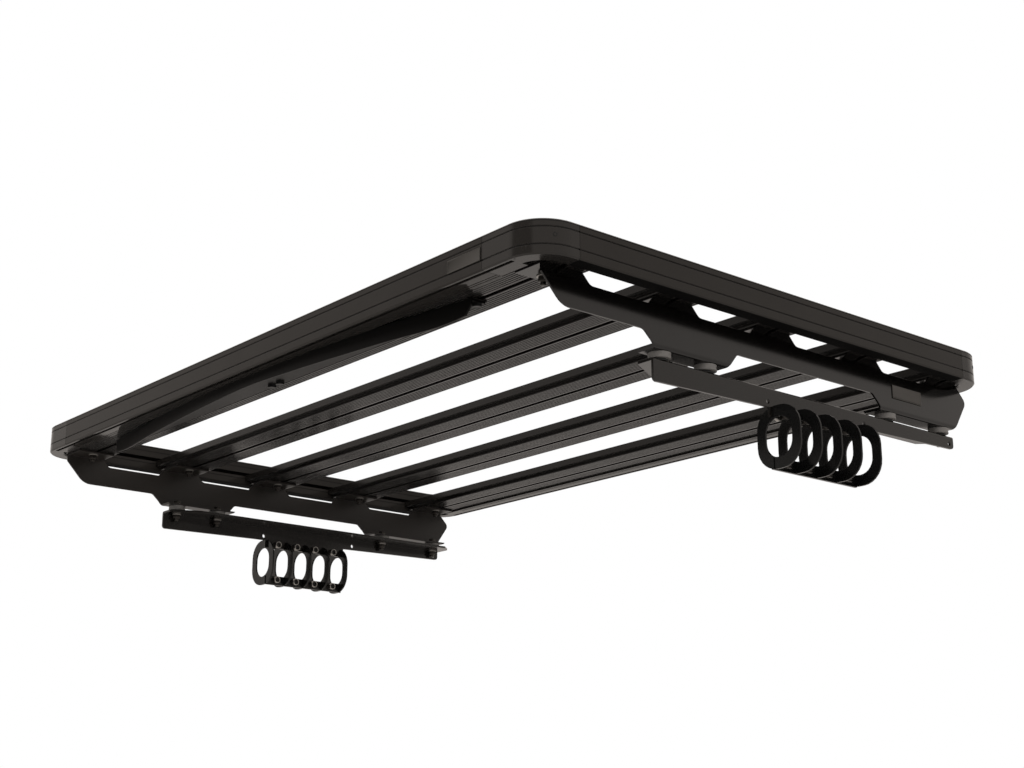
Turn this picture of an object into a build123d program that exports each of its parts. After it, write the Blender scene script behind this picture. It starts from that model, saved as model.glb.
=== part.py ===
# Flat platform roof rack: tray of beams and slats, fairing, foot rails, pads, lower rails and ring stacks.
# Lengths in millimetres. X is across the rack, Y runs from front (-Y) to rear (+Y), Z is up, floor at zero.
import os
from math import cos, radians, sin

from build123d import *

os.makedirs("parts", exist_ok=True)

# Tray outline and edge beams
TRAY_W = 1425.0
TRAY_L = 954.0
CORNER_R = 57.0
BEAM_H = 48.0
BEAM_D = 25.0
BEAM_WALL = 2.5
BEAM_CHAMFER = 2.0
BEAM_LIP_H = 6.0
CORNER_FRONT_TAIL = 52.0
CORNER_SIDE_TAIL = 12.5
CORNER_LIP_GAP = 2.0

# Slats, set evenly between the front and rear beams
SLAT_COUNT = 5
SLAT_DROP = 27.6
SLAT_H = 17.8
SLAT_W = 96.0
SLAT_SIDE_H = 11.5
SLAT_FOOT_W = 76.0
SLAT_WALL = 2.2
SLAT_SEAM = 0.2

# Grooves that take the head of a bolt
SLOT_MOUTH = 8.4
SLOT_LIP = 2.0
SLOT_HEAD_W = 15.0
SLOT_DEPTH = 7.2
BEAM_SLOT_MOUTH = 6.0
BEAM_SLOT_HEAD_W = 10.6
BEAM_SLOT_CENTRE = 8.4
SIDE_SLOT_W = 7.0
SIDE_SLOT_DROP = 25.8

# Foot rails: distances run back from the front face of the tray, drops run down from its top edge.
# The cutter is the length of a tool that passes right through a sheet.
SHEET = 3.0
RAIL_INSET = 37.5
RAIL_EDGE = 97.4
NOSE_DROP = 59.0
NOSE_RUN = 36.0
NOSE_R = 33.0
TAB_LEN = 70.0
TAB_DEPTH = 51.0
TAB_BOLT_INSET = 36.0
TAB_HOLE_R = 4.5
CUTTER = 20.0
WINDOW_DROP = 60.0
WINDOW_FRONT_RUN = 14.0
WINDOW_REAR_RUN = 12.0
WINDOW_R = 12.0
FOOT_DROP = 119.0
FOOT_BEND_R = 6.0
FOOT_FLANGE = 33.0
FOOT_R = 10.0
FRONT_FOOT = 231.0
FRONT_FOOT_LEN = 157.5
FRONT_FOOT_LEAD = 14.0
FRONT_FOOT_TRAIL = 10.5
REAR_FOOT_INSET = 39.0
REAR_FOOT_LEN = 201.5
REAR_FOOT_LEAD = 14.0
TAIL_RUN = 27.0
TAIL_DROP = 71.0
FOOT_CUT = 7.5

# Pads between the feet and the lower rails, placed back from the front corner of each foot
PAD_R = 16.0
PAD_H = 11.5
PAD_INSET = 18.0
FRONT_PADS = (32.0, 121.0)
REAR_PADS = (38.5, 173.5)

# Lower rails
LOWER_INSET = 6.0
LOWER_SHEET = 4.0
LOWER_FLANGE = 57.0
LOWER_BEND_R = 4.0
LOWER_LEAD = 8.0
LOWER_TRAIL = 7.0
LOWER_H_FRONT = 33.0
LOWER_H_REAR = 20.5
LOWER_NOSE_R = 6.0
FRONT_CUT_X = 28.0
FRONT_CUT_Y = 52.0
REAR_CUT_X = 18.0
REAR_CUT_Y = 20.0
RAIL_HOLE_R = 3.5
RAIL_HOLE_RISE = 8.0
FRONT_HOLE_LEAD = 9.0
MIDDLE_HOLE_LEAD = 31.5
REAR_HOLE_INSET = 11.0

# Ring stacks
RING_COUNT = 5
RING_PITCH = 44.5
RING_SHIFT = 13.0
RING_OUT = 10.0
RING_W = 78.0
RING_H = 91.0
RING_HANG = 26.5
RING_SHEET = 3.0
RING_HOLE_W = 48.0
RING_HOLE_H = 58.0
RING_R = 34.0
RING_HOLE_R = 23.0
RING_FACETS = 7
LAP_FIT = 0.15
HANGER_DEPTH = 16.0
HANGER_OVER = 6.0
TIE_H = 18.0
TIE_OVER = 3.0

# Wind fairing bolted under the first slat: a flange with a bowed front panel folded down from it.
# Its lower edge is given as distance in from the end and depth below the slat.
FAIRING_INSET = 200.5
FAIRING_T = 3.0
FAIRING_SET = 21.4
FAIRING_BOW = 34.6
FAIRING_CORNER = 10.6
FAIRING_EDGE = ((11.0, 25.1), (57.0, 29.6), (137.0, 28.2), (222.0, 26.4), (312.0, 24.2), (412.0, 21.6))
FAIRING_MIDDLE = 19.4
FLANGE_BEHIND = 8.0
BRACKET_W = 12.0
BRACKET_INSET = 8.0
BRACKET_SPREAD = 24.0
BRACKET_REACH = 24.0

# Bare badge plates
BADGE_T = 1.2
FRONT_BADGE_W = 68.0
FRONT_BADGE_H = 18.0
FRONT_BADGE_GAP = 2.5
FRONT_BADGE_DROP = 25.0
RAIL_BADGE_W = 72.0
RAIL_BADGE_H = 21.0
RAIL_BADGE_SET = 71.0
RAIL_BADGE_DROP = 86.0

# Sizes that follow from the ones above
SLAT_PITCH = (TRAY_L - 2 * BEAM_D - SLAT_W) / (SLAT_COUNT - 1)
SLAT_LENGTH = TRAY_W - 2 * BEAM_D - 2 * SLAT_SEAM
SLAT_UNDER = SLAT_DROP + SLAT_H
BEAM_LIP = (SLAT_W - SLAT_FOOT_W) / 2
LOWER_TOP = FOOT_DROP + PAD_H
TOP_Z = LOWER_TOP + RING_HANG + RING_H
RAIL_X = TRAY_W / 2 - RAIL_INSET
LOWER_X = RAIL_X - LOWER_INSET
PAD_X = RAIL_X - PAD_INSET
RING_X = LOWER_X + RING_OUT
FRONT_FOOT_END = FRONT_FOOT + FRONT_FOOT_LEN
REAR_FOOT_END = TRAY_L - REAR_FOOT_INSET
REAR_FOOT = REAR_FOOT_END - REAR_FOOT_LEN
LOWER_FRONT = FRONT_FOOT + LOWER_LEAD
LOWER_REAR = REAR_FOOT_END - LOWER_TRAIL
RING_MIDDLE = (FRONT_FOOT_END + REAR_FOOT) / 2 + RING_SHIFT


def back(distance):
    """Y of a point a distance behind the front face of the tray."""
    return distance - TRAY_L / 2


def below(drop):
    """Z of a point a drop below the top of the edge beams."""
    return TOP_Z - drop


def save(shape, name):
    """Write one named piece as its own file."""
    export_step(shape, f"parts/{name}.step")


def save_pair(shape, name):
    """Write a piece of the +X side and its mirror image."""
    save(shape, f"right_{name}")
    save(mirror(shape, Plane.YZ), f"left_{name}")


def outline(points):
    """A face from its corner points."""
    return make_face(Polyline(*points, close=True))


def rounded_outline(corners):
    """A face from its corners, each given with the radius that rounds it."""
    points = [(u, v) for u, v, _ in corners]
    radii = [radius for _, _, radius in corners]
    return make_face(FilletPolyline(*points, radius=radii, close=True))


def side_outline(corners):
    """A rounded face from distances back, drops and radii."""
    return rounded_outline([(back(distance), below(drop), radius) for distance, drop, radius in corners])


def t_slot(mouth_w, head_w):
    """Section of one bolt groove, opening downwards at the origin."""
    mouth = Pos(0, SLOT_LIP / 2) * Rectangle(mouth_w, SLOT_LIP)
    head = Pos(0, (SLOT_LIP + SLOT_DEPTH) / 2) * Rectangle(head_w, SLOT_DEPTH - SLOT_LIP)
    return mouth + head


SLAT_YS = [(i - (SLAT_COUNT - 1) / 2) * SLAT_PITCH for i in range(SLAT_COUNT)]
SLAT_BOTTOM = below(SLAT_UNDER)


def beam_outline():
    """Outer shape of the edge beams and corners, with its long edges chamfered."""
    shape = Pos(BEAM_D / 2, BEAM_H / 2) * Rectangle(BEAM_D, BEAM_H)
    return chamfer(shape.vertices(), BEAM_CHAMFER)


def lip_outline(reach):
    """Lip that tucks under the overhang of the first or last slat."""
    root = BEAM_D - BEAM_WALL
    width = BEAM_WALL + reach
    return Pos(root + width / 2, BEAM_LIP_H / 2) * Rectangle(width, BEAM_LIP_H)


def beam_groove():
    """Bolt groove in the underside of the front and rear beams."""
    return Pos(BEAM_SLOT_CENTRE, 0) * t_slot(BEAM_SLOT_MOUTH, BEAM_SLOT_HEAD_W)


def beam_section(slotted):
    """Hollow edge beam, outer face at zero, bottom at zero; a side beam has its groove in the inner face."""
    section = beam_outline()
    floor = SLOT_DEPTH + BEAM_WALL if slotted else BEAM_WALL
    core_h = BEAM_H - floor - BEAM_WALL
    section -= Pos(BEAM_D / 2, floor + core_h / 2) * Rectangle(BEAM_D - 2 * BEAM_WALL, core_h)
    if slotted:
        section += lip_outline(BEAM_LIP)
        section -= beam_groove()
    else:
        mouth = Rectangle(2 * BEAM_WALL, SIDE_SLOT_W)
        section -= Pos(BEAM_D, BEAM_H - SIDE_SLOT_DROP) * mouth
    return section


def slat_section():
    """Slat extrusion with a bolt groove above and below and a hollow each side."""
    half_w = SLAT_W / 2
    half_foot = SLAT_FOOT_W / 2
    waist = SLAT_H - SLAT_SIDE_H
    recess = half_foot - SLAT_WALL
    section = Pos(0, SLAT_WALL / 2) * Rectangle(2 * half_foot, SLAT_WALL)
    section += Pos(0, SLAT_H / 2) * Rectangle(2 * recess, SLAT_H)
    section += Pos(0, waist + SLAT_SIDE_H / 2) * Rectangle(2 * half_w, SLAT_SIDE_H)
    groove = t_slot(SLOT_MOUTH, SLOT_HEAD_W)
    section -= groove
    section -= Pos(0, SLAT_H) * Rot(0, 0, 180) * groove
    inner = SLOT_HEAD_W / 2 + SLAT_WALL
    hollow_w = recess - SLAT_WALL - inner
    hollow_h = SLAT_H - 2 * SLAT_WALL
    for side in (-1, 1):
        section -= Pos(side * (inner + hollow_w / 2), SLAT_H / 2) * Rectangle(hollow_w, hollow_h)
    return section


def edge_beam(length, slotted):
    """Straight beam along +X with its outer face at Y zero and its bottom at Z zero."""
    plane = Plane(origin=(-length / 2, 0, 0), x_dir=(0, 1, 0), z_dir=(1, 0, 0))
    return extrude(plane * beam_section(slotted), amount=length)


def corner_piece():
    """Rounded front right corner with a straight tail each way, centred on its bend."""
    front = Plane(origin=(0, -CORNER_R, 0), x_dir=(0, 1, 0), z_dir=(1, 0, 0))
    side = Plane(origin=(CORNER_R, 0, 0), x_dir=(-1, 0, 0), z_dir=(0, 1, 0))
    corner = revolve(front * beam_outline(), Axis.Z, 90)
    corner += extrude(front * beam_outline(), amount=-CORNER_FRONT_TAIL)
    corner += extrude(side * beam_outline(), amount=CORNER_SIDE_TAIL)
    corner += extrude(front * lip_outline(BEAM_LIP - CORNER_LIP_GAP), amount=-CORNER_FRONT_TAIL)
    corner -= extrude(front * beam_groove(), amount=-CORNER_FRONT_TAIL)
    seat = CORNER_R - BEAM_D
    pocket = Box(CORNER_R + CORNER_FRONT_TAIL, SLAT_W, SLAT_H, align=(Align.MAX, Align.MIN, Align.MAX))
    return corner - Pos(seat, -seat, BEAM_H - SLAT_DROP) * pocket


# Tray frame
seam_x = TRAY_W / 2 - CORNER_R - CORNER_FRONT_TAIL
seam_y = TRAY_L / 2 - CORNER_R - CORNER_SIDE_TAIL
beam_z = below(BEAM_H)
front_beam = Pos(0, -TRAY_L / 2, beam_z) * edge_beam(2 * seam_x, True)
save(front_beam, "front_beam")
save(Rot(0, 0, 180) * front_beam, "rear_beam")
side_beam = Pos(TRAY_W / 2, 0, beam_z) * Rot(0, 0, 90) * edge_beam(2 * seam_y, False)
save_pair(side_beam, "beam")

bend_x = TRAY_W / 2 - CORNER_R
bend_y = TRAY_L / 2 - CORNER_R
near_corner = Pos(bend_x, -bend_y, beam_z) * corner_piece()
save(near_corner, "front_right_corner")
save(mirror(near_corner, Plane.YZ), "front_left_corner")
save(mirror(near_corner, Plane.XZ), "rear_right_corner")
save(Rot(0, 0, 180) * near_corner, "rear_left_corner")

# Slats across the tray, butted against the side beams
slat_plane = Plane(origin=(-SLAT_LENGTH / 2, 0, SLAT_BOTTOM), x_dir=(0, 1, 0), z_dir=(1, 0, 0))
slat = extrude(slat_plane * slat_section(), amount=SLAT_LENGTH)
for number, slat_y in enumerate(SLAT_YS, start=1):
    save(Pos(0, slat_y, 0) * slat, f"slat_{number}")


def folded_flange(x, z, way, flange, sheet, bend_r):
    """Section of a flange folded inwards off a web at x; way is 1 when the web stands up from the flange."""
    leg = bend_r + sheet
    corners = [
        (x, z + way * leg, 0),
        (x, z, bend_r),
        (x - flange, z, 0),
        (x - flange, z + way * sheet, 0),
        (x - sheet, z + way * sheet, max(bend_r - sheet, 0)),
        (x - sheet, z + way * leg, 0),
    ]
    return rounded_outline(corners)


def along_rail(section, start, end):
    """A section in X and Z drawn back along the rack."""
    plane = Plane(origin=(0, back(start), 0), x_dir=(1, 0, 0), z_dir=(0, -1, 0))
    return extrude(plane * section, amount=start - end)


def foot_rail():
    """Folded sheet rail of the +X side: web, tabs under the slats and a flange under each foot."""
    plane = Plane(origin=(RAIL_X - SHEET, 0, 0), x_dir=(0, 1, 0), z_dir=(1, 0, 0))
    fold = FOOT_DROP - FOOT_BEND_R - SHEET
    half_tab = TAB_LEN / 2
    front = SLAT_YS[0] - half_tab - back(0)
    rear = SLAT_YS[-1] + half_tab - back(0)
    web = [
        (front, SLAT_UNDER, 0),
        (front, NOSE_DROP, 0),
        (front + NOSE_RUN, RAIL_EDGE, NOSE_R),
        (FRONT_FOOT - FRONT_FOOT_LEAD, RAIL_EDGE, FOOT_R),
        (FRONT_FOOT, fold, 0),
        (FRONT_FOOT_END, fold, 0),
        (FRONT_FOOT_END + FRONT_FOOT_TRAIL, RAIL_EDGE, FOOT_R),
        (REAR_FOOT - REAR_FOOT_LEAD, RAIL_EDGE, FOOT_R),
        (REAR_FOOT, fold, 0),
        (REAR_FOOT_END, fold, 0),
        (REAR_FOOT_END + TAIL_RUN, TAIL_DROP, FOOT_R),
        (rear, SLAT_UNDER, 0),
    ]
    rail = extrude(plane * side_outline(web), amount=SHEET)
    for first, second in zip(SLAT_YS, SLAT_YS[1:]):
        start = first + half_tab - back(0)
        end = second - half_tab - back(0)
        window = [
            (start, SLAT_UNDER - SHEET, 0),
            (start, SLAT_UNDER, 0),
            (start + WINDOW_FRONT_RUN, WINDOW_DROP, WINDOW_R),
            (end - WINDOW_REAR_RUN, WINDOW_DROP, 0),
            (end, SLAT_UNDER, 0),
            (end, SLAT_UNDER - SHEET, 0),
        ]
        rail -= extrude(plane * side_outline(window), amount=SHEET)
    tab = Box(TAB_DEPTH, TAB_LEN, SHEET, align=(Align.MAX, Align.CENTER, Align.MAX))
    tab -= Pos(-TAB_BOLT_INSET, 0, 0) * Cylinder(TAB_HOLE_R, CUTTER)
    for slat_y in SLAT_YS:
        rail += Pos(RAIL_X, slat_y, SLAT_BOTTOM) * tab
    flange = folded_flange(RAIL_X, below(FOOT_DROP), 1, FOOT_FLANGE, SHEET, FOOT_BEND_R)
    inner_plane = Plane(origin=(RAIL_X - FOOT_FLANGE, 0, 0), x_dir=(0, 1, 0), z_dir=(1, 0, 0))
    for start, end in ((FRONT_FOOT, FRONT_FOOT_END), (REAR_FOOT, REAR_FOOT_END)):
        foot = [
            (start, fold, 0),
            (end, fold, 0),
            (end - FOOT_CUT, FOOT_DROP, 0),
            (start + FOOT_CUT, FOOT_DROP, 0),
        ]
        trim = extrude(inner_plane * side_outline(foot), amount=FOOT_FLANGE)
        rail += along_rail(flange, start, end) & trim
    return rail


save_pair(foot_rail(), "foot_rail")

# Round pads, two under each foot
pad = Cylinder(PAD_R, PAD_H, align=(Align.CENTER, Align.CENTER, Align.MAX))
for end_name, foot, stations in (("front", FRONT_FOOT, FRONT_PADS), ("rear", REAR_FOOT, REAR_PADS)):
    pads = [Pos(PAD_X, back(foot + station), below(FOOT_DROP)) * pad for station in stations]
    save(Compound(pads), f"right_{end_name}_pads")
    save(Compound([mirror(one, Plane.YZ) for one in pads]), f"left_{end_name}_pads")

# Places where the rings are lapped into the hanger tab and the tie
RING_YS = [back(RING_MIDDLE + (i - (RING_COUNT - 1) / 2) * RING_PITCH) for i in range(RING_COUNT)]
RING_BAND = (RING_H - RING_HOLE_H) / 2
LAP_TOP = RING_H - RING_BAND / 2
LAP_LOW = TIE_H / 2


def lap_notch(height, way):
    """Notch that lets one ring plate through a strip, open at its top or its bottom."""
    end = Align.MIN if way > 0 else Align.MAX
    width = RING_SHEET + 2 * LAP_FIT
    return Box(CUTTER, width, height, align=(Align.CENTER, Align.CENTER, end))


def lower_rail():
    """Angle rail of the +X side with a hanger tab that the rings are lapped into."""
    plane = Plane(origin=(LOWER_X - LOWER_SHEET, 0, 0), x_dir=(0, 1, 0), z_dir=(1, 0, 0))
    fold = LOWER_TOP + LOWER_BEND_R + LOWER_SHEET
    front_low = LOWER_TOP + LOWER_H_FRONT
    rear_low = LOWER_TOP + LOWER_H_REAR
    blade = [
        (LOWER_FRONT, fold, 0),
        (LOWER_FRONT, front_low, LOWER_NOSE_R),
        (LOWER_REAR, rear_low, LOWER_NOSE_R),
        (LOWER_REAR, fold, 0),
    ]
    rail = extrude(plane * side_outline(blade), amount=LOWER_SHEET)
    flange = folded_flange(LOWER_X, below(LOWER_TOP), -1, LOWER_FLANGE, LOWER_SHEET, LOWER_BEND_R)
    rail += along_rail(flange, LOWER_FRONT, LOWER_REAR)
    inner_x = LOWER_X - LOWER_FLANGE
    for y, cut_x, cut_y in (
        (back(LOWER_FRONT), FRONT_CUT_X, FRONT_CUT_Y),
        (back(LOWER_REAR), REAR_CUT_X, -REAR_CUT_Y),
    ):
        cut = outline([(inner_x, y), (inner_x + cut_x, y), (inner_x, y + cut_y)])
        rail -= extrude(Pos(0, 0, below(LOWER_TOP)) * cut, amount=LOWER_SHEET, both=True)
    tab_low = RING_H - HANGER_DEPTH
    tab_start = RING_YS[0] - HANGER_OVER
    tab_len = RING_YS[-1] + HANGER_OVER - tab_start
    tab_h = below(fold) - tab_low
    tab = Box(LOWER_SHEET, tab_len, tab_h, align=(Align.MAX, Align.MIN, Align.MIN))
    rail += Pos(LOWER_X, tab_start, tab_low) * tab
    for ring_y in RING_YS:
        rail -= Pos(LOWER_X, ring_y, LAP_TOP) * lap_notch(LAP_TOP - tab_low, -1)
    stations = (
        RING_YS[0] - back(0) - FRONT_HOLE_LEAD,
        REAR_FOOT - MIDDLE_HOLE_LEAD,
        LOWER_REAR - REAR_HOLE_INSET,
    )
    slope = (rear_low - front_low) / (LOWER_REAR - LOWER_FRONT)
    for station in stations:
        drop = front_low + slope * (station - LOWER_FRONT) - RAIL_HOLE_RISE
        hole = Rot(0, 90, 0) * Cylinder(RAIL_HOLE_R, CUTTER)
        rail -= Pos(LOWER_X, back(station), below(drop)) * hole
    return rail


save_pair(lower_rail(), "lower_rail")


def oval(width, height, radius):
    """Upright oval with its corners turned in even facets."""
    points = []
    for quarter in range(4):
        turn = radians(90 * quarter)
        centre_x = (width / 2 - radius) * (1 if quarter in (0, 3) else -1)
        centre_y = (height / 2 - radius) * (1 if quarter in (0, 1) else -1)
        for step in range(RING_FACETS + 1):
            angle = turn + radians(90 * step / RING_FACETS)
            points.append((centre_x + radius * cos(angle), centre_y + radius * sin(angle)))
    return outline(points)


def ring_plate():
    """Oval ring plate of the +X side, upright across the rack, slotted for hanger tab and tie."""
    section = oval(RING_W, RING_H, RING_R) - oval(RING_HOLE_W, RING_HOLE_H, RING_HOLE_R)
    plane = Plane(origin=(RING_X, RING_SHEET / 2, RING_H / 2), x_dir=(1, 0, 0), z_dir=(0, -1, 0))
    ring = extrude(plane * section, amount=RING_SHEET)
    slot_w = LOWER_SHEET + 2 * LAP_FIT
    slot_x = LOWER_X - LOWER_SHEET / 2
    upper = Box(slot_w, CUTTER, RING_BAND, align=(Align.CENTER, Align.CENTER, Align.MIN))
    lower = Box(slot_w, CUTTER, RING_BAND, align=(Align.CENTER, Align.CENTER, Align.MAX))
    return ring - Pos(slot_x, 0, LAP_TOP) * upper - Pos(slot_x, 0, LAP_LOW) * lower


ring = ring_plate()
for number, ring_y in enumerate(RING_YS, start=1):
    save_pair(Pos(0, ring_y, 0) * ring, f"ring_{number}")


def tie_strip():
    """Strip of the +X side lapped into the bottoms of the rings."""
    start = RING_YS[0] - TIE_OVER
    length = RING_YS[-1] + TIE_OVER - start
    tie = Pos(LOWER_X, start, 0) * Box(LOWER_SHEET, length, TIE_H, align=(Align.MAX, Align.MIN, Align.MIN))
    for ring_y in RING_YS:
        tie -= Pos(LOWER_X, ring_y, LAP_LOW) * lap_notch(TIE_H, 1)
    return tie


save_pair(tie_strip(), "ring_tie")

# Wind fairing: one thin sheet with a flange under the beam lip and a bowed panel with an arched edge
fairing_half = TRAY_W / 2 - FAIRING_INSET
fairing_top = below(BEAM_H)
bow_r = (fairing_half**2 + FAIRING_BOW**2) / (2 * FAIRING_BOW)
bow_y = back(FAIRING_SET) + bow_r
edge = [(fairing_half - inward, SLAT_BOTTOM - depth) for inward, depth in FAIRING_EDGE]
mirrored_edge = [(-x, z) for x, z in edge]
arch = mirrored_edge + [(0, SLAT_BOTTOM - FAIRING_MIDDLE)] + edge[::-1]
front_view = make_face(
    [
        Polyline(
            mirrored_edge[0],
            (-fairing_half, SLAT_BOTTOM - FAIRING_CORNER),
            (-fairing_half, fairing_top),
            (fairing_half, fairing_top),
            (fairing_half, SLAT_BOTTOM - FAIRING_CORNER),
            edge[0],
        ),
        Spline(arch),
    ]
)
flange_rear = SLAT_YS[0] + FLANGE_BEHIND
panel_plane = Plane(origin=(0, flange_rear, 0), x_dir=(1, 0, 0), z_dir=(0, -1, 0))
sheet = extrude(panel_plane * front_view, amount=flange_rear - back(0))
sheet &= Pos(0, bow_y, fairing_top) * Cylinder(bow_r, 2 * BEAM_H)
under_flange = Cylinder(bow_r - FAIRING_T, 2 * BEAM_H, align=(Align.CENTER, Align.CENTER, Align.MAX))
sheet -= Pos(0, bow_y, fairing_top - FAIRING_T) * under_flange
save(sheet, "wind_fairing")

# Clips between the flange of the fairing and the first slat, over its groove
clip_h = SLAT_BOTTOM - fairing_top
clip = Box(BRACKET_W, BRACKET_REACH, clip_h, align=(Align.CENTER, Align.CENTER, Align.MAX))
end_x = fairing_half - BRACKET_INSET
clip_xs = (-end_x, -BRACKET_SPREAD / 2, BRACKET_SPREAD / 2, end_x)
save(Compound([Pos(x, SLAT_YS[0], SLAT_BOTTOM) * clip for x in clip_xs]), "fairing_brackets")

# Bare badge plates on the front beam and the right foot rail
front_badge = Box(FRONT_BADGE_W, BADGE_T, FRONT_BADGE_H, align=(Align.MAX, Align.MAX, Align.CENTER))
save(Pos(seam_x - FRONT_BADGE_GAP, -TRAY_L / 2, below(FRONT_BADGE_DROP)) * front_badge, "front_badge_plate")
rail_badge = Box(BADGE_T, RAIL_BADGE_W, RAIL_BADGE_H, align=(Align.MIN, Align.CENTER, Align.CENTER))
badge_y = back(REAR_FOOT + RAIL_BADGE_SET)
save(Pos(RAIL_X, badge_y, below(RAIL_BADGE_DROP)) * rail_badge, "rail_badge_plate")
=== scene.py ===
# Flat platform roof rack, dressed in the order in which it is put together. Lengths in metres.
from math import cos, pi, radians, sin

import bmesh
import bpy
from mathutils import Matrix, Vector


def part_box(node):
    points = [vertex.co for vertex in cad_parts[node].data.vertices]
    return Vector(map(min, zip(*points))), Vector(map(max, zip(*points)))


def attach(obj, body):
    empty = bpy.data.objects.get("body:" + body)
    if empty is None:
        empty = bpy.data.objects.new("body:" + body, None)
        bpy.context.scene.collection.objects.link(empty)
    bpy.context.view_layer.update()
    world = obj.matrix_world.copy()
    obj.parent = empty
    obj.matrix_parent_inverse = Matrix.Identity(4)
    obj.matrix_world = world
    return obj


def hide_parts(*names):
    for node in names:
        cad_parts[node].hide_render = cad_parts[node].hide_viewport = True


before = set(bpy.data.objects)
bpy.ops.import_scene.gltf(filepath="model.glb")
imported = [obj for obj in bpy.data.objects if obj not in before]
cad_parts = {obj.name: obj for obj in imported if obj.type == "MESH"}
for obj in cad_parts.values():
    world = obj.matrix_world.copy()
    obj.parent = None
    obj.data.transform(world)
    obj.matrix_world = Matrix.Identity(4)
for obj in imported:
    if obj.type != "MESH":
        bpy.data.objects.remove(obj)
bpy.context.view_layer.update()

# The studio: a pale floor under the rack, even white light from all round, and walls that show warm grey
# in gloss, with one dark flag beside the front. The eye of the photograph looks up from below the floor,
# so the floor shows from above only.
SENSOR_MM = 36.0
FOCAL_MM = 55.643
EYE_PLACE = (2.0733, -1.6694, -0.4978)
EYE_TILT = radians(106.134)
EYE_TURN = radians(49.783)
scene = bpy.context.scene
scene.view_settings.view_transform = "Standard"
lens = bpy.data.cameras.new("photo_eye")
lens.sensor_fit = "HORIZONTAL"
lens.sensor_width = SENSOR_MM
lens.lens = FOCAL_MM
eye = bpy.data.objects.new("photo_eye", lens)
eye.location = EYE_PLACE
eye.rotation_euler = (EYE_TILT, 0.0, EYE_TURN)
scene.collection.objects.link(eye)
scene.camera = eye

WALL_WHITE = (1.0, 1.0, 1.0, 1.0)
WALL_GREY = (0.730, 0.675, 0.630, 1.0)
FLAG_TURN = radians(264)
FLAG_RIM = 0.78
FLAG_CORE = 0.86
FLAG_LIGHT = 0.2
sky = bpy.data.worlds.new("white_studio")
scene.world = sky
sky.use_nodes = True
walls = sky.node_tree
white = walls.nodes["Background"]
white.inputs["Color"].default_value = WALL_WHITE
white.inputs["Strength"].default_value = 1.0
grey = walls.nodes.new("ShaderNodeBackground")
grey.inputs["Color"].default_value = WALL_GREY
toward = walls.nodes.new("ShaderNodeTexCoord")
flag = walls.nodes.new("ShaderNodeVectorMath")
flag.operation = "DOT_PRODUCT"
flag.inputs[1].default_value = (cos(FLAG_TURN), sin(FLAG_TURN), 0.0)
walls.links.new(toward.outputs["Generated"], flag.inputs[0])
flag_edge = walls.nodes.new("ShaderNodeMapRange")
flag_edge.interpolation_type = "SMOOTHSTEP"
flag_edge.inputs["From Min"].default_value = FLAG_RIM
flag_edge.inputs["From Max"].default_value = FLAG_CORE
flag_edge.inputs["To Min"].default_value = 1.0
flag_edge.inputs["To Max"].default_value = FLAG_LIGHT
walls.links.new(flag.outputs["Value"], flag_edge.inputs["Value"])
walls.links.new(flag_edge.outputs["Result"], grey.inputs["Strength"])
wall_ray = walls.nodes.new("ShaderNodeLightPath")
walls_mix = walls.nodes.new("ShaderNodeMixShader")
walls.links.new(wall_ray.outputs["Is Glossy Ray"], walls_mix.inputs["Fac"])
walls.links.new(white.outputs["Background"], walls_mix.inputs[1])
walls.links.new(grey.outputs["Background"], walls_mix.inputs[2])
walls.links.new(walls_mix.outputs["Shader"], walls.nodes["World Output"].inputs["Surface"])

FLOOR_R = 14.0
FLOOR_PLACE = (0.0, 0.0, -0.0005)
FLOOR_WHITE = (0.88, 0.88, 0.88, 1.0)
bpy.ops.object.select_all(action="DESELECT")
bpy.ops.mesh.primitive_circle_add(vertices=96, radius=FLOOR_R, fill_type="NGON", location=FLOOR_PLACE)
floor = bpy.context.active_object
floor.name = "studio_floor"
floor_paint = bpy.data.materials.new("floor_paint")
floor_paint.use_nodes = True
tree = floor_paint.node_tree
paint = tree.nodes["Principled BSDF"]
paint.inputs["Base Color"].default_value = FLOOR_WHITE
paint.inputs["Roughness"].default_value = 0.9
paint.inputs["Specular IOR Level"].default_value = 0.0
floor_grey = tree.nodes.new("ShaderNodeEmission")
floor_grey.inputs["Color"].default_value = WALL_GREY
floor_grey.inputs["Strength"].default_value = 1.0
floor_ray = tree.nodes.new("ShaderNodeLightPath")
mirrored = tree.nodes.new("ShaderNodeMixShader")
tree.links.new(floor_ray.outputs["Is Glossy Ray"], mirrored.inputs["Fac"])
tree.links.new(paint.outputs["BSDF"], mirrored.inputs[1])
tree.links.new(floor_grey.outputs["Emission"], mirrored.inputs[2])
facing = tree.nodes.new("ShaderNodeNewGeometry")
clear = tree.nodes.new("ShaderNodeBsdfTransparent")
one_sided = tree.nodes.new("ShaderNodeMixShader")
tree.links.new(facing.outputs["Backfacing"], one_sided.inputs["Fac"])
tree.links.new(mirrored.outputs["Shader"], one_sided.inputs[1])
tree.links.new(clear.outputs["BSDF"], one_sided.inputs[2])
tree.links.new(one_sided.outputs["Shader"], tree.nodes["Material Output"].inputs["Surface"])
floor.data.materials.append(floor_paint)

# Edge beams and corners: aluminium extrusions and castings under a satin black powder coat. Two grooves
# are pressed round the outer face and three along the underside of the front and rear beams. The line
# under the top edge and the hairline where a beam is butted to its corner are in the coat alone. Down in
# the grooves and along the line under the top edge the coat is painted black as shade; at the hairlines
# the black is a dark joint.
CLOUD_SCALE = 14.0
PEEL_SCALE = 420.0
PEEL_STRENGTH = 0.004
PEEL_DEPTH = 0.0004
SOFT_EDGE_R = 0.0007
ROUGH_SPREAD = 0.03


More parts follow.
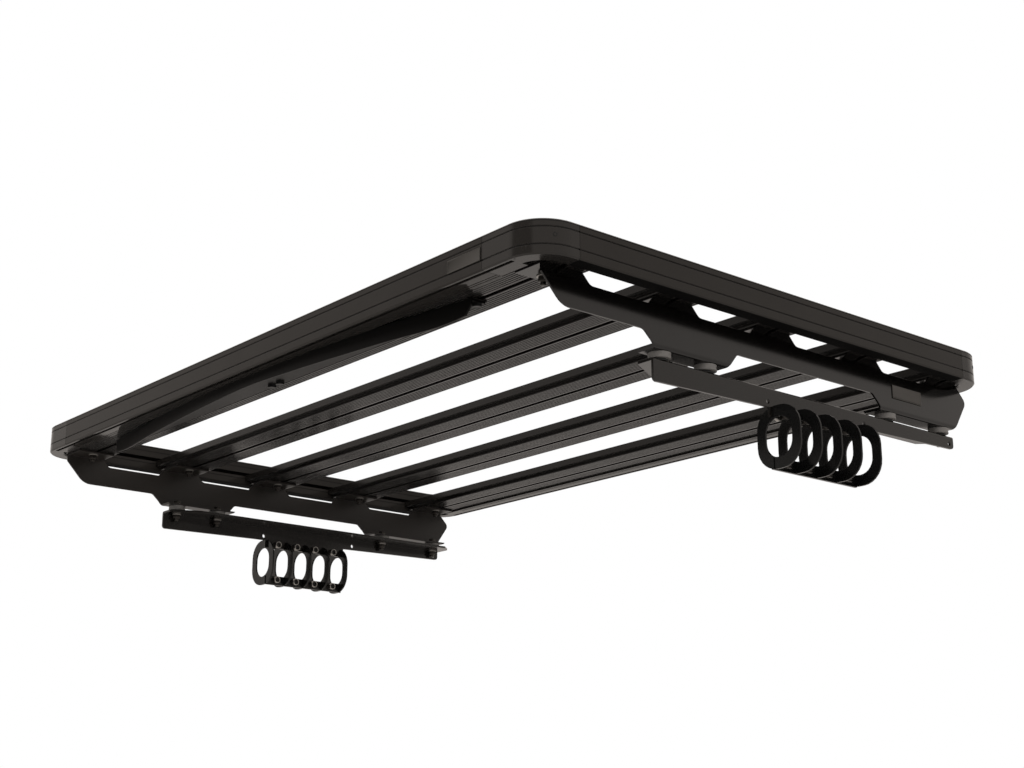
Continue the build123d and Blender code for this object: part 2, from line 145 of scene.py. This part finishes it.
def powder_coat(name, colour, rough, gloss, mottle=0.12):
    """Baked powder coat: fine peel, slight mottling and softly rounded edges."""
    coat = bpy.data.materials.new(name)
    coat.use_nodes = True
    nodes = coat.node_tree.nodes
    links = coat.node_tree.links
    shader = nodes["Principled BSDF"]
    shader.inputs["Specular IOR Level"].default_value = gloss
    place = nodes.new("ShaderNodeTexCoord")
    cloud = nodes.new("ShaderNodeTexNoise")
    cloud.inputs["Scale"].default_value = CLOUD_SCALE
    cloud.inputs["Detail"].default_value = 3.0
    links.new(place.outputs["Object"], cloud.inputs["Vector"])
    tint = nodes.new("ShaderNodeMix")
    tint.name = "tint"
    tint.data_type = "RGBA"
    tint.inputs["A"].default_value = [c * (1.0 - mottle) for c in colour] + [1.0]
    tint.inputs["B"].default_value = [c * (1.0 + mottle) for c in colour] + [1.0]
    links.new(cloud.outputs["Fac"], tint.inputs["Factor"])
    links.new(tint.outputs["Result"], shader.inputs["Base Color"])
    sheen = nodes.new("ShaderNodeMapRange")
    sheen.name = "sheen"
    sheen.inputs["To Min"].default_value = rough - ROUGH_SPREAD
    sheen.inputs["To Max"].default_value = rough + ROUGH_SPREAD
    links.new(cloud.outputs["Fac"], sheen.inputs["Value"])
    links.new(sheen.outputs["Result"], shader.inputs["Roughness"])
    peel = nodes.new("ShaderNodeTexNoise")
    peel.inputs["Scale"].default_value = PEEL_SCALE
    peel.inputs["Detail"].default_value = 2.0
    links.new(place.outputs["Object"], peel.inputs["Vector"])
    soft_edge = nodes.new("ShaderNodeBevel")
    soft_edge.samples = 4
    soft_edge.inputs["Radius"].default_value = SOFT_EDGE_R
    skin = nodes.new("ShaderNodeBump")
    skin.name = "skin"
    skin.inputs["Strength"].default_value = PEEL_STRENGTH
    skin.inputs["Distance"].default_value = PEEL_DEPTH
    links.new(peel.outputs["Fac"], skin.inputs["Height"])
    links.new(soft_edge.outputs["Normal"], skin.inputs["Normal"])
    links.new(skin.outputs["Normal"], shader.inputs["Normal"])
    return coat


def measure(coat, axis, fold=None):
    """The distance along one axis of a coated piece, without its sign, or folded back every so often."""
    nodes = coat.node_tree.nodes
    links = coat.node_tree.links
    split = nodes.new("ShaderNodeSeparateXYZ")
    links.new(nodes["Texture Coordinate"].outputs["Object"], split.inputs["Vector"])
    length = nodes.new("ShaderNodeMath")
    length.operation = "ABSOLUTE" if fold is None else "PINGPONG"
    if fold is not None:
        length.inputs[1].default_value = fold
    links.new(split.outputs[axis], length.inputs[0])
    return length.outputs["Value"]


def groove_shade_and_joint_lines(coat, lines, depth):
    """Paint a coat black and make it dull down in fine lines, as painted shade in grooves and as dark
    joints at seams: what is measured, the place and the width of each.
    """
    nodes = coat.node_tree.nodes
    links = coat.node_tree.links
    in_line = None
    for across, place, width in lines:
        offset = nodes.new("ShaderNodeMath")
        offset.operation = "SUBTRACT"
        offset.inputs[1].default_value = place
        links.new(across, offset.inputs[0])
        near = nodes.new("ShaderNodeMath")
        near.operation = "ABSOLUTE"
        links.new(offset.outputs["Value"], near.inputs[0])
        trough = nodes.new("ShaderNodeMapRange")
        trough.interpolation_type = "SMOOTHSTEP"
        trough.inputs["From Min"].default_value = 0.0
        trough.inputs["From Max"].default_value = width / 2
        trough.inputs["To Min"].default_value = 1.0
        trough.inputs["To Max"].default_value = 0.0
        links.new(near.outputs["Value"], trough.inputs["Value"])
        if in_line is None:
            in_line = trough.outputs["Result"]
        else:
            either = nodes.new("ShaderNodeMath")
            either.operation = "MAXIMUM"
            links.new(in_line, either.inputs[0])
            links.new(trough.outputs["Result"], either.inputs[1])
            in_line = either.outputs["Value"]
    sunk = nodes.new("ShaderNodeBump")
    sunk.invert = True
    sunk.inputs["Strength"].default_value = 1.0
    sunk.inputs["Distance"].default_value = depth
    links.new(in_line, sunk.inputs["Height"])
    links.new(nodes["skin"].outputs["Normal"], sunk.inputs["Normal"])
    shader = nodes["Principled BSDF"]
    links.new(sunk.outputs["Normal"], shader.inputs["Normal"])
    black = nodes.new("ShaderNodeMix")
    black.data_type = "RGBA"
    black.inputs["B"].default_value = (0.0, 0.0, 0.0, 1.0)
    links.new(in_line, black.inputs["Factor"])
    links.new(nodes["tint"].outputs["Result"], black.inputs["A"])
    links.new(black.outputs["Result"], shader.inputs["Base Color"])
    matt = nodes.new("ShaderNodeMath")
    matt.operation = "MAXIMUM"
    links.new(nodes["sheen"].outputs["Result"], matt.inputs[0])
    links.new(in_line, matt.inputs[1])
    links.new(matt.outputs["Value"], shader.inputs["Roughness"])


def dress(names, coat):
    """Give CAD pieces their finish."""
    for name in names:
        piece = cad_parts[name]
        piece.data.materials.clear()
        piece.data.materials.append(coat)


tray_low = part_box("front_beam")[0].z
tray_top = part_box("front_beam")[1].z
seam_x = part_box("front_beam")[1].x
tray_x, seam_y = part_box("right_beam")[1].xy
tray_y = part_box("rear_beam")[1].y
EDGE_LINE_DROP = 0.0030
EDGE_LINE_W = 0.0020
GROOVE_DROPS = (0.0110, 0.0345)
GROOVE_SHADE_W = 0.0018
SEAM_W = 0.0014
DULL_DEPTH = 0.0001


def beam_lines(coat, more):
    """Dull a coat and paint it black as shade along the grooves round the tray, as joints at the corners'
    hairlines, and along what else it has.
    """
    up = measure(coat, "Z")
    lines = [(up, tray_top - EDGE_LINE_DROP, EDGE_LINE_W)]
    lines += [(up, tray_top - drop, GROOVE_SHADE_W) for drop in GROOVE_DROPS]
    lines += [(measure(coat, "X"), seam_x, SEAM_W), (measure(coat, "Y"), seam_y, SEAM_W)]
    lines += [(measure(coat, axis), place, width) for axis, place, width in more]
    groove_shade_and_joint_lines(coat, lines, DULL_DEPTH)


BEAM_BLACK = (0.0225, 0.0195, 0.0170)
CORNER_BLACK = (0.0180, 0.0156, 0.0136)
UNDER_GROOVES = (0.034, 0.039, 0.044)
UNDER_GROOVE_SHADE_W = 0.0024
UNDERSIDE_SHADE_W = 0.0012
CORNER_SHADE_DROP = 0.0004
CORNERS = ("front_left_corner", "front_right_corner", "rear_left_corner", "rear_right_corner")
# A band of painted shade makes the underside of the side beams dull black, and that of the corners a
# little duller than their sides.
tray_coat = powder_coat("tray_coat", BEAM_BLACK, rough=0.06, gloss=0.11)
beam_lines(tray_coat, [("Y", seam_y + from_seam, UNDER_GROOVE_SHADE_W) for from_seam in UNDER_GROOVES])
dress(["front_beam", "rear_beam"], tray_coat)
side_coat = powder_coat("side_coat", BEAM_BLACK, rough=0.12, gloss=0.11)
beam_lines(side_coat, [("Z", tray_low, UNDERSIDE_SHADE_W)])
dress(["left_beam", "right_beam"], side_coat)
corner_coat = powder_coat("corner_coat", CORNER_BLACK, rough=0.12, gloss=0.27)
beam_lines(corner_coat, [("Z", tray_low - CORNER_SHADE_DROP, UNDERSIDE_SHADE_W)])
dress(CORNERS, corner_coat)


def pick_faces(piece, test):
    """In edit mode, select the faces whose middle and direction pass a test."""
    bpy.context.tool_settings.mesh_select_mode = (False, False, True)
    bpy.ops.mesh.select_all(action="DESELECT")
    mesh = bmesh.from_edit_mesh(piece.data)
    for face in mesh.faces:
        face.select_set(test(face.calc_center_median(), face.normal))
    bmesh.update_edit_mesh(piece.data)


def groove_cuts(way, middles, width):
    """The cutting planes along both edges of grooves that lie square to a direction."""
    return [(way * (middle + half), way) for middle in middles for half in (-width / 2, width / 2)]


MERGE_REACH = 0.00001
BLEND_ANGLE = radians(12)


def press_grooves(node, cuts, in_groove, depth):
    """Stand in for a CAD piece with a copy that is cut along its grooves' edges and pressed in there."""
    piece = bpy.data.objects.new(f"{node}_grooved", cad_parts[node].data.copy())
    scene.collection.objects.link(piece)
    bpy.ops.object.select_all(action="DESELECT")
    piece.select_set(True)
    bpy.context.view_layer.objects.active = piece
    bpy.ops.object.mode_set(mode="EDIT")
    bpy.ops.mesh.select_all(action="SELECT")
    bpy.ops.mesh.remove_doubles(threshold=MERGE_REACH)
    for spot, way in cuts:
        bpy.ops.mesh.select_all(action="SELECT")
        bpy.ops.mesh.bisect(plane_co=spot, plane_no=way)
    pick_faces(piece, in_groove)
    bpy.ops.mesh.extrude_region_shrink_fatten(TRANSFORM_OT_shrink_fatten={"value": -depth})
    bpy.ops.object.mode_set(mode="OBJECT")
    bpy.ops.object.shade_smooth_by_angle(angle=BLEND_ANGLE)
    even = piece.modifiers.new("even_shading", "WEIGHTED_NORMAL")
    even.keep_sharp = True
    bpy.ops.object.modifier_apply(modifier="even_shading")
    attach(piece, "root")
    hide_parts(node)


UP = Vector((0.0, 0.0, 1.0))
BACK = Vector((0.0, 1.0, 0.0))
CORNER_R = 0.057
GROOVE_W = 0.0022
GROOVE_DEPTH = 0.0010
UNDER_GROOVE_W = 0.0018
OUTLINE_FIT = 0.0004
FACE_FIT = 0.0001


def behind_outline(middle):
    """How far a point lies inside the rounded outline of the tray, in plan."""
    past_x = max(abs(middle.x) - tray_x + CORNER_R, 0.0)
    past_y = max(abs(middle.y) - tray_y + CORNER_R, 0.0)
    return CORNER_R - Vector((past_x, past_y)).length


def in_outer_groove(middle, way):
    """A strip of the tray's outer face between the two edges of a groove."""
    level = any(abs(tray_top - drop - middle.z) < GROOVE_W / 2 for drop in GROOVE_DROPS)
    return level and abs(way.z) < 0.1 and behind_outline(middle) < OUTLINE_FIT


def in_front_or_rear_groove(middle, way):
    """The same on a front or rear beam, and a strip of its underside."""
    under = way.z < -0.9 and middle.z < tray_low + FACE_FIT
    past_seam = abs(middle.y) - seam_y
    strip = any(abs(past_seam - from_seam) < UNDER_GROOVE_W / 2 for from_seam in UNDER_GROOVES)
    return (under and strip) or in_outer_groove(middle, way)


outer_cuts = groove_cuts(UP, [tray_top - drop for drop in GROOVE_DROPS], GROOVE_W)
for node in ("left_beam", "right_beam") + CORNERS:
    press_grooves(node, outer_cuts, in_outer_groove, GROOVE_DEPTH)
for node, sy in (("front_beam", -1), ("rear_beam", 1)):
    under_ys = [sy * (seam_y + from_seam) for from_seam in UNDER_GROOVES]
    cuts = outer_cuts + groove_cuts(BACK, under_ys, UNDER_GROOVE_W)
    press_grooves(node, cuts, in_front_or_rear_groove, GROOVE_DEPTH)


# Corner plugs: a small black plastic plug pressed into the bend of each corner casting, with a dished
# face and a rounded rim.
def start_disc(name, radius, height, sides):
    """Add a disc standing on the origin and open it for editing."""
    middle = (0.0, 0.0, height / 2)
    bpy.ops.object.select_all(action="DESELECT")
    bpy.ops.mesh.primitive_cylinder_add(vertices=sides, radius=radius, depth=height, location=middle)
    bpy.ops.object.transform_apply(location=True, rotation=True, scale=True)
    piece = bpy.context.active_object
    piece.name = name
    bpy.ops.object.mode_set(mode="EDIT")
    return piece


SHARP_ANGLE = radians(40)
SMOOTH_ANGLE = radians(35)


def close_piece(piece, edge, finish):
    """Leave edit mode, round the sharp edges and give the piece its finish."""
    bpy.ops.object.mode_set(mode="OBJECT")
    rounding = piece.modifiers.new("rounding", "BEVEL")
    rounding.width = edge
    rounding.segments = 2
    rounding.limit_method = "ANGLE"
    rounding.angle_limit = SHARP_ANGLE
    bpy.ops.object.modifier_apply(modifier="rounding")
    bpy.ops.object.shade_smooth_by_angle(angle=SMOOTH_ANGLE)
    piece.data.materials.clear()
    piece.data.materials.append(finish)


def set_copies(pattern, name, places):
    """Set a copy of a finished pattern at each place, and take the pattern away."""
    for number, place in enumerate(places, start=1):
        piece = pattern.copy()
        piece.data = pattern.data.copy()
        piece.name = f"{name}_{number}"
        piece.data.transform(place)
        scene.collection.objects.link(piece)
        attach(piece, "root")
    bpy.data.objects.remove(pattern)


def top_face(middle, way):
    """The upper end of a disc."""
    return way.z > 0.9


PLUG_R = 0.0030
PLUG_H = 0.0016
PLUG_RIM = 0.0009
PLUG_DISH = 0.0007
PLUG_SUNK = 0.0012
PLUG_DROP = 0.0215
PLUG_TURN = radians(25)
black_plastic = powder_coat("black_plastic", (0.008, 0.008, 0.008), rough=0.40, gloss=0.30)
corner_plug = start_disc("corner_plug", PLUG_R, PLUG_H, sides=32)
pick_faces(corner_plug, top_face)
bpy.ops.mesh.inset(thickness=PLUG_RIM, depth=0.0)
bpy.ops.mesh.inset(thickness=0.0003, depth=-PLUG_DISH)
close_piece(corner_plug, 0.0002, black_plastic)
plug_places = []
for sx in (-1, 1):
    for sy in (-1, 1):
        out = Vector((sx * cos(PLUG_TURN), sy * sin(PLUG_TURN), 0.0))
        bend = Vector((sx * (tray_x - CORNER_R), sy * (tray_y - CORNER_R), tray_top - PLUG_DROP))
        spot = bend + out * (CORNER_R - PLUG_SUNK)
        plug_places.append(Matrix.Translation(spot) @ out.to_track_quat("Z", "Y").to_matrix().to_4x4())
set_copies(corner_plug, "corner_plug", plug_places)

# Slats: broad aluminium extrusions bolted across the tray, with a bolt groove along the middle above
# and below and fine grooves drawn along both faces. The same satin black powder coat, painted black down
# in the fine grooves as shade.
SLATS = [f"slat_{number}" for number in range(1, 6)]
SLAT_BLACK = (0.0090, 0.0078, 0.0068)
FIRST_GROOVE = 0.0095
GROOVE_STEP = 0.0050
SLAT_GROOVES = [FIRST_GROOVE + number * GROOVE_STEP for number in range(8)]
SLAT_GROOVE_W = 0.0022
SLAT_GROOVE_DEPTH = 0.0010
SLAT_GROOVE_SHADE_W = 0.0026
SLAT_DULL_DEPTH = 0.0003
slat_low, slat_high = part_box("slat_1")
slat_middles = [sum(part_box(slat), Vector()) / 2 for slat in SLATS]
half_pitch = (slat_middles[1].y - slat_middles[0].y) / 2
slat_coat = powder_coat("slat_coat", SLAT_BLACK, rough=0.17, gloss=0.22)
from_middle = measure(slat_coat, "Y", half_pitch)
groove_shade_and_joint_lines(slat_coat, [(from_middle, groove, SLAT_GROOVE_SHADE_W) for groove in SLAT_GROOVES], SLAT_DULL_DEPTH)
dress(SLATS, slat_coat)


def in_slat_groove(middle, way):
    """A strip of a slat's flat top or underside between the two edges of a groove."""
    to_face = min(abs(middle.z - slat_low.z), abs(middle.z - slat_high.z))
    aside = min(abs(middle.y - slat_middle.y) for slat_middle in slat_middles)
    strip = any(abs(aside - groove) < SLAT_GROOVE_W / 2 for groove in SLAT_GROOVES)
    return strip and abs(way.z) > 0.9 and to_face < FACE_FIT


for slat, slat_middle in zip(SLATS, slat_middles):
    groove_ys = [slat_middle.y + sy * groove for groove in SLAT_GROOVES for sy in (-1, 1)]
    slat_cuts = groove_cuts(BACK, groove_ys, SLAT_GROOVE_W)
    press_grooves(slat, slat_cuts, in_slat_groove, SLAT_GROOVE_DEPTH)

# Wind fairing: one thin sheet of black moulded plastic with a fine matt grain, bowed and arched, whose
# flange hangs under the first slat on flat steel spacer clips.
FAIRING_BLACK = (0.0035, 0.0032, 0.0029)
fairing_sheet = powder_coat("fairing_sheet", FAIRING_BLACK, rough=0.34, gloss=0.07)
dress(["wind_fairing"], fairing_sheet)

# Fairing knobs: black screw knobs with a scalloped grip that draw the flange and its clips up to the
# groove of the first slat, one at each end and two in the middle.
KNOB_R = 0.0068
KNOB_H = 0.0038
KNOB_SIDES = 24
SCALLOP_DEPTH = 0.0006
KNOB_CROWN = 0.0008
KNOB_DISH = 0.0006
KNOB_FROM_END = 0.006
KNOB_FROM_MIDDLE = 0.012
FAIRING_T = 0.003


def every_other_side(middle, way):
    """Every second face round the grip of a knob."""
    if abs(way.z) > 0.1:
        return False
    turn = pi + way.to_2d().angle_signed(Vector((1, 0)))
    return round(turn * KNOB_SIDES / (2 * pi)) % 2 == 1


knob = start_disc("fairing_knob", KNOB_R, KNOB_H, KNOB_SIDES)
pick_faces(knob, every_other_side)
bpy.ops.mesh.inset(thickness=0.0003, depth=-SCALLOP_DEPTH, use_individual=True)
pick_faces(knob, top_face)
bpy.ops.mesh.inset(thickness=0.0010, depth=KNOB_CROWN)
bpy.ops.mesh.inset(thickness=0.0015, depth=-KNOB_DISH)
close_piece(knob, 0.0002, black_plastic)
head_down = Matrix.Rotation(pi, 4, "X")
clip_low, clip_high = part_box("fairing_brackets")
fairing_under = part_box("wind_fairing")[1].z - FAIRING_T
knob_xs = (clip_low.x + KNOB_FROM_END, -KNOB_FROM_MIDDLE, KNOB_FROM_MIDDLE, clip_high.x - KNOB_FROM_END)
knob_spots = [Vector((x, slat_middles[0].y, fairing_under)) for x in knob_xs]
set_copies(knob, "fairing_knob", [Matrix.Translation(s) @ head_down for s in knob_spots])

# Foot rails, lower rails and clips: folded steel sheet with cut windows, powder coated satin black. The
# web of the right foot rail is shaded as if it leaned a little, so that it mirrors the dark tray.
RAIL_BLACK = (0.0190, 0.0160, 0.0137)
LOWER_BLACK = (0.0085, 0.0073, 0.0062)
WEB_SHADE_BLACK = (0.0018, 0.0015, 0.0013)
WEB_LEAN = 0.14
rail_coat = powder_coat("rail_coat", RAIL_BLACK, rough=0.34, gloss=0.26)
dress(["left_foot_rail", "fairing_brackets"], rail_coat)
lower_coat = powder_coat("lower_coat", LOWER_BLACK, rough=0.18, gloss=0.36)
dress(["left_lower_rail", "right_lower_rail"], lower_coat)
# The right foot rail takes a far darker copy of the rail coat than the left one: painted shade.
shaded_web_coat = powder_coat("shaded_web_coat", WEB_SHADE_BLACK, rough=0.15, gloss=0.42)
web_nodes = shaded_web_coat.node_tree.nodes
web_links = shaded_web_coat.node_tree.links
lean = web_nodes.new("ShaderNodeBump")
lean.invert = True
lean.inputs["Strength"].default_value = 1.0
lean.inputs["Distance"].default_value = WEB_LEAN
web_links.new(measure(shaded_web_coat, "Z"), lean.inputs["Height"])
web_links.new(web_nodes["skin"].outputs["Normal"], lean.inputs["Normal"])
web_links.new(lean.outputs["Normal"], web_nodes["Principled BSDF"].inputs["Normal"])
dress(["right_foot_rail"], shaded_web_coat)


# Tab bolts: a bolt hangs from the groove at each slat end, with a plated washer and a black hex nut that
# clamp the tab of the foot rail.
def plated_steel(name, colour, rough):
    """Zinc plated or blackened steel: bare metal with a faint cloudy film."""
    metal = powder_coat(name, colour, rough, gloss=0.5, mottle=0.2)
    metal.node_tree.nodes["Principled BSDF"].inputs["Metallic"].default_value = 1.0
    return metal


def both_ends(middle, way):
    """The two flat ends of a disc."""
    return abs(way.z) > 0.9


def join_two(piece, other):
    """Make two finished meshes one piece."""
    bpy.ops.object.select_all(action="DESELECT")
    piece.select_set(True)
    other.select_set(True)
    bpy.context.view_layer.objects.active = piece
    bpy.ops.object.join()


def plain_copy(pattern):
    """One more of a finished pattern, for another row of the same piece."""
    again = pattern.copy()
    again.data = pattern.data.copy()
    scene.collection.objects.link(again)
    return again


WASHER_R = 0.0090
WASHER_T = 0.0016
WASHER_RING = 0.0046
NUT_R = 0.0075
NUT_H = 0.0065
BOLT_R = 0.0040
BOLT_END = 0.0045
bright_zinc = plated_steel("bright_zinc", (0.32, 0.31, 0.295), rough=0.30)
black_oxide = plated_steel("black_oxide", (0.045, 0.042, 0.039), rough=0.32)
washer = start_disc("plain_washer", WASHER_R, WASHER_T, sides=48)
pick_faces(washer, both_ends)
bpy.ops.mesh.inset(thickness=WASHER_RING, depth=0.0)
bpy.ops.mesh.bridge_edge_loops()
close_piece(washer, 0.0003, bright_zinc)
nut = start_disc("hex_nut", NUT_R, NUT_H, sides=6)
pick_faces(nut, both_ends)
bpy.ops.mesh.inset(thickness=0.0009, depth=0.0004)
close_piece(nut, 0.0003, black_oxide)
stud = start_disc("bolt_end", BOLT_R, NUT_H + BOLT_END, sides=24)
pick_faces(stud, top_face)
bpy.ops.mesh.inset(thickness=0.0007, depth=0.0007)
close_piece(stud, 0.0001, black_oxide)
join_two(nut, stud)

TAB_T = 0.003
TAB_BOLT_X = 0.639
tab_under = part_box("right_foot_rail")[1].z - TAB_T
tab_spots = [Vector((sx * TAB_BOLT_X, middle.y, tab_under)) for sx in (-1, 1) for middle in slat_middles]
washer_up = Vector((0.0, 0.0, WASHER_T))
tab_washers = [Matrix.Translation(s) @ head_down for s in tab_spots]
tab_nuts = [Matrix.Translation(s - washer_up) @ head_down for s in tab_spots]
set_copies(plain_copy(washer), "tab_washer", tab_washers)
set_copies(plain_copy(nut), "tab_nut", tab_nuts)

# Pads: turned discs of grey nylon with a fine line round them, each on a short black neck, squeezed
# between a foot flange and the lower rail.
PAD_NODES = ("left_front_pads", "left_rear_pads", "right_front_pads", "right_rear_pads")
PAD_GREY = (0.155, 0.142, 0.130)
pad_low, pad_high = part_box("right_front_pads")
PAD_R = (pad_high.x - pad_low.x) / 2
NECK_R = 0.0112
NECK_T = 0.003
NYLON_T = pad_high.z - pad_low.z - NECK_T
LINE_LOW = NYLON_T * 0.60
LINE_HIGH = NYLON_T * 0.72
LINE_DEPTH = 0.0005


def in_turned_line(middle, way):
    """The band round a pad that the tool has turned down."""
    return abs(way.z) < 0.1 and LINE_LOW < middle.z < LINE_HIGH


pad_nylon = powder_coat("pad_nylon", PAD_GREY, rough=0.50, gloss=0.30)
disc = start_disc("nylon_disc", PAD_R, NYLON_T, sides=96)
for height in (LINE_LOW, LINE_HIGH):
    bpy.ops.mesh.select_all(action="SELECT")
    bpy.ops.mesh.bisect(plane_co=(0, 0, height), plane_no=(0, 0, 1))
pick_faces(disc, in_turned_line)
bpy.ops.transform.shrink_fatten(value=-LINE_DEPTH)
close_piece(disc, 0.0005, pad_nylon)
neck = start_disc("pad_neck", NECK_R, NECK_T, sides=64)
pick_faces(neck, both_ends)
bpy.ops.mesh.inset(thickness=0.002, depth=0.0)
close_piece(neck, 0.0004, black_plastic)
neck_up = Vector((0.0, 0.0, NECK_T))
pad_spots = []
for name in PAD_NODES:
    low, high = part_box(name)
    pair = [Vector(((low.x + high.x) / 2, y, low.z)) for y in (low.y + PAD_R, high.y - PAD_R)]
    pad_spots += pair
    one, two = [plain_copy(disc) for _ in pair]
    one.data.transform(Matrix.Translation(pair[0] + neck_up))
    two.data.transform(Matrix.Translation(pair[1] + neck_up))
    join_two(one, two)
    one.name = f"{name}_turned"
    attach(one, "root")
    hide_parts(name)
bpy.data.objects.remove(disc)
set_copies(neck, "pad_neck", [Matrix.Translation(s) for s in pad_spots])

# Pad bolts: through each foot flange, pad and lower rail, with a hex head on a washer above the flange
# and a washer, a nut and the bolt end below the lower rail. Blackened steel with plated washers.
FLANGE_T = 0.003
LOWER_T = 0.004
HEAD_H = 0.0056
head = start_disc("hex_head", NUT_R, HEAD_H, sides=6)
pick_faces(head, top_face)
bpy.ops.mesh.inset(thickness=0.0010, depth=0.0004)
bpy.ops.mesh.inset(thickness=0.0020, depth=-0.0003)
close_piece(head, 0.0003, black_oxide)
pad_up = Vector((0.0, 0.0, pad_high.z - pad_low.z + FLANGE_T))
lower_up = Vector((0.0, 0.0, LOWER_T))
flange_washers = [Matrix.Translation(s + pad_up) for s in pad_spots]
bolt_heads = [Matrix.Translation(s + pad_up + washer_up) for s in pad_spots]
lower_washers = [Matrix.Translation(s - lower_up) @ head_down for s in pad_spots]
lower_nuts = [Matrix.Translation(s - lower_up - washer_up) @ head_down for s in pad_spots]
set_copies(plain_copy(washer), "flange_washer", flange_washers)
set_copies(head, "pad_bolt_head", bolt_heads)
set_copies(washer, "lower_washer", lower_washers)
set_copies(nut, "pad_bolt_nut", lower_nuts)

# Ring stacks: oval rings of cut steel plate, lapped into the hanger tab above and the tie below, in a
# smooth black coat.
RING_BLACK = (0.0068, 0.0066, 0.0063)
ring_coat = powder_coat("ring_coat", RING_BLACK, rough=0.16, gloss=0.26)
dress([f"{hand}_ring_{number}" for hand in ("left", "right") for number in range(1, 6)], ring_coat)
dress(["left_ring_tie", "right_ring_tie"], ring_coat)

# Ring bolts: between the rings, socket head bolts pass through the hanger tab and the tie, with their
# satin steel heads inside the rack and thin black nuts outside.
CAP_R = 0.0066
CAP_H = 0.0080
CAP_RIM = 0.0016
SHADED_SOCKET_R = 0.0048
SOCKET_DEPTH = 0.0055
CAP_FOOT = 0.001
THIN_NUT_R = 0.0078
THIN_NUT_H = 0.0080
TIE_BOLT_Z = 0.0105
HANGER_BOLT_Z = 0.0815
satin_steel = plated_steel("satin_steel", (0.34, 0.33, 0.31), rough=0.34)
cap = start_disc("socket_head", CAP_R, CAP_H, sides=40)
pick_faces(cap, top_face)
bpy.ops.mesh.inset(thickness=CAP_RIM, depth=0.0)
bpy.ops.mesh.inset(thickness=0.0003, depth=-SOCKET_DEPTH)
close_piece(cap, 0.0004, satin_steel)
# The faces down in the socket take the black plastic finish: painted shade in the recess of the steel
# head.
cap.data.materials.append(black_plastic)
for face in cap.data.polygons:
    if face.center.to_2d().length < SHADED_SOCKET_R and face.center.z > CAP_FOOT:
        face.material_index = 1
thin_nut = start_disc("thin_nut", THIN_NUT_R, THIN_NUT_H, sides=6)
pick_faces(thin_nut, top_face)
bpy.ops.mesh.inset(thickness=0.0009, depth=0.0004)
bpy.ops.mesh.inset(thickness=0.0022, depth=0.0)
bpy.ops.mesh.inset(thickness=0.0003, depth=0.0018)
close_piece(thin_nut, 0.0003, black_oxide)
ring_ys = [sum(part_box(f"right_ring_{number}"), Vector()).y / 2 for number in range(1, 6)]
bays = [(ahead + behind) / 2 for ahead, behind in zip(ring_ys, ring_ys[1:])]
tie_low, tie_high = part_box("right_ring_tie")
cap_places = []
nut_places = []
for sx in (-1, 1):
    facing_in = Matrix.Rotation(-sx * pi / 2, 4, "Y")
    facing_out = Matrix.Rotation(sx * pi / 2, 4, "Y")
    for z in (TIE_BOLT_Z, HANGER_BOLT_Z):
        cap_places += [Matrix.Translation((sx * tie_low.x, y, z)) @ facing_in for y in bays]
        nut_places += [Matrix.Translation((sx * tie_high.x, y, z)) @ facing_out for y in bays]
set_copies(cap, "ring_bolt_head", cap_places)
set_copies(thin_nut, "ring_bolt_nut", nut_places)

# Badge plates: small bare aluminium plates with a raised rim, dark and satin, fixed flat on the front
# beam and the right foot rail.
BADGE_RIM = 0.0012
BADGE_DISH = 0.0005
OUTWARD = {"front_badge_plate": Vector((0, -1, 0)), "rail_badge_plate": Vector((1, 0, 0))}
badge_metal = plated_steel("badge_metal", (0.080, 0.077, 0.073), rough=0.34)
for name, outward in OUTWARD.items():
    low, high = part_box(name)
    bpy.ops.object.select_all(action="DESELECT")
    bpy.ops.mesh.primitive_cube_add(size=1.0, location=(low + high) / 2, scale=high - low)
    plate = bpy.context.active_object
    plate.name = f"{name}_rimmed"
    bpy.ops.object.transform_apply(location=True, rotation=True, scale=True)
    bpy.ops.object.mode_set(mode="EDIT")
    pick_faces(plate, lambda middle, way: way.dot(outward) > 0.9)
    bpy.ops.mesh.inset(thickness=BADGE_RIM, depth=0.0)
    bpy.ops.mesh.inset(thickness=0.0004, depth=-BADGE_DISH)
    close_piece(plate, 0.0002, badge_metal)
    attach(plate, "root")
    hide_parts(name)
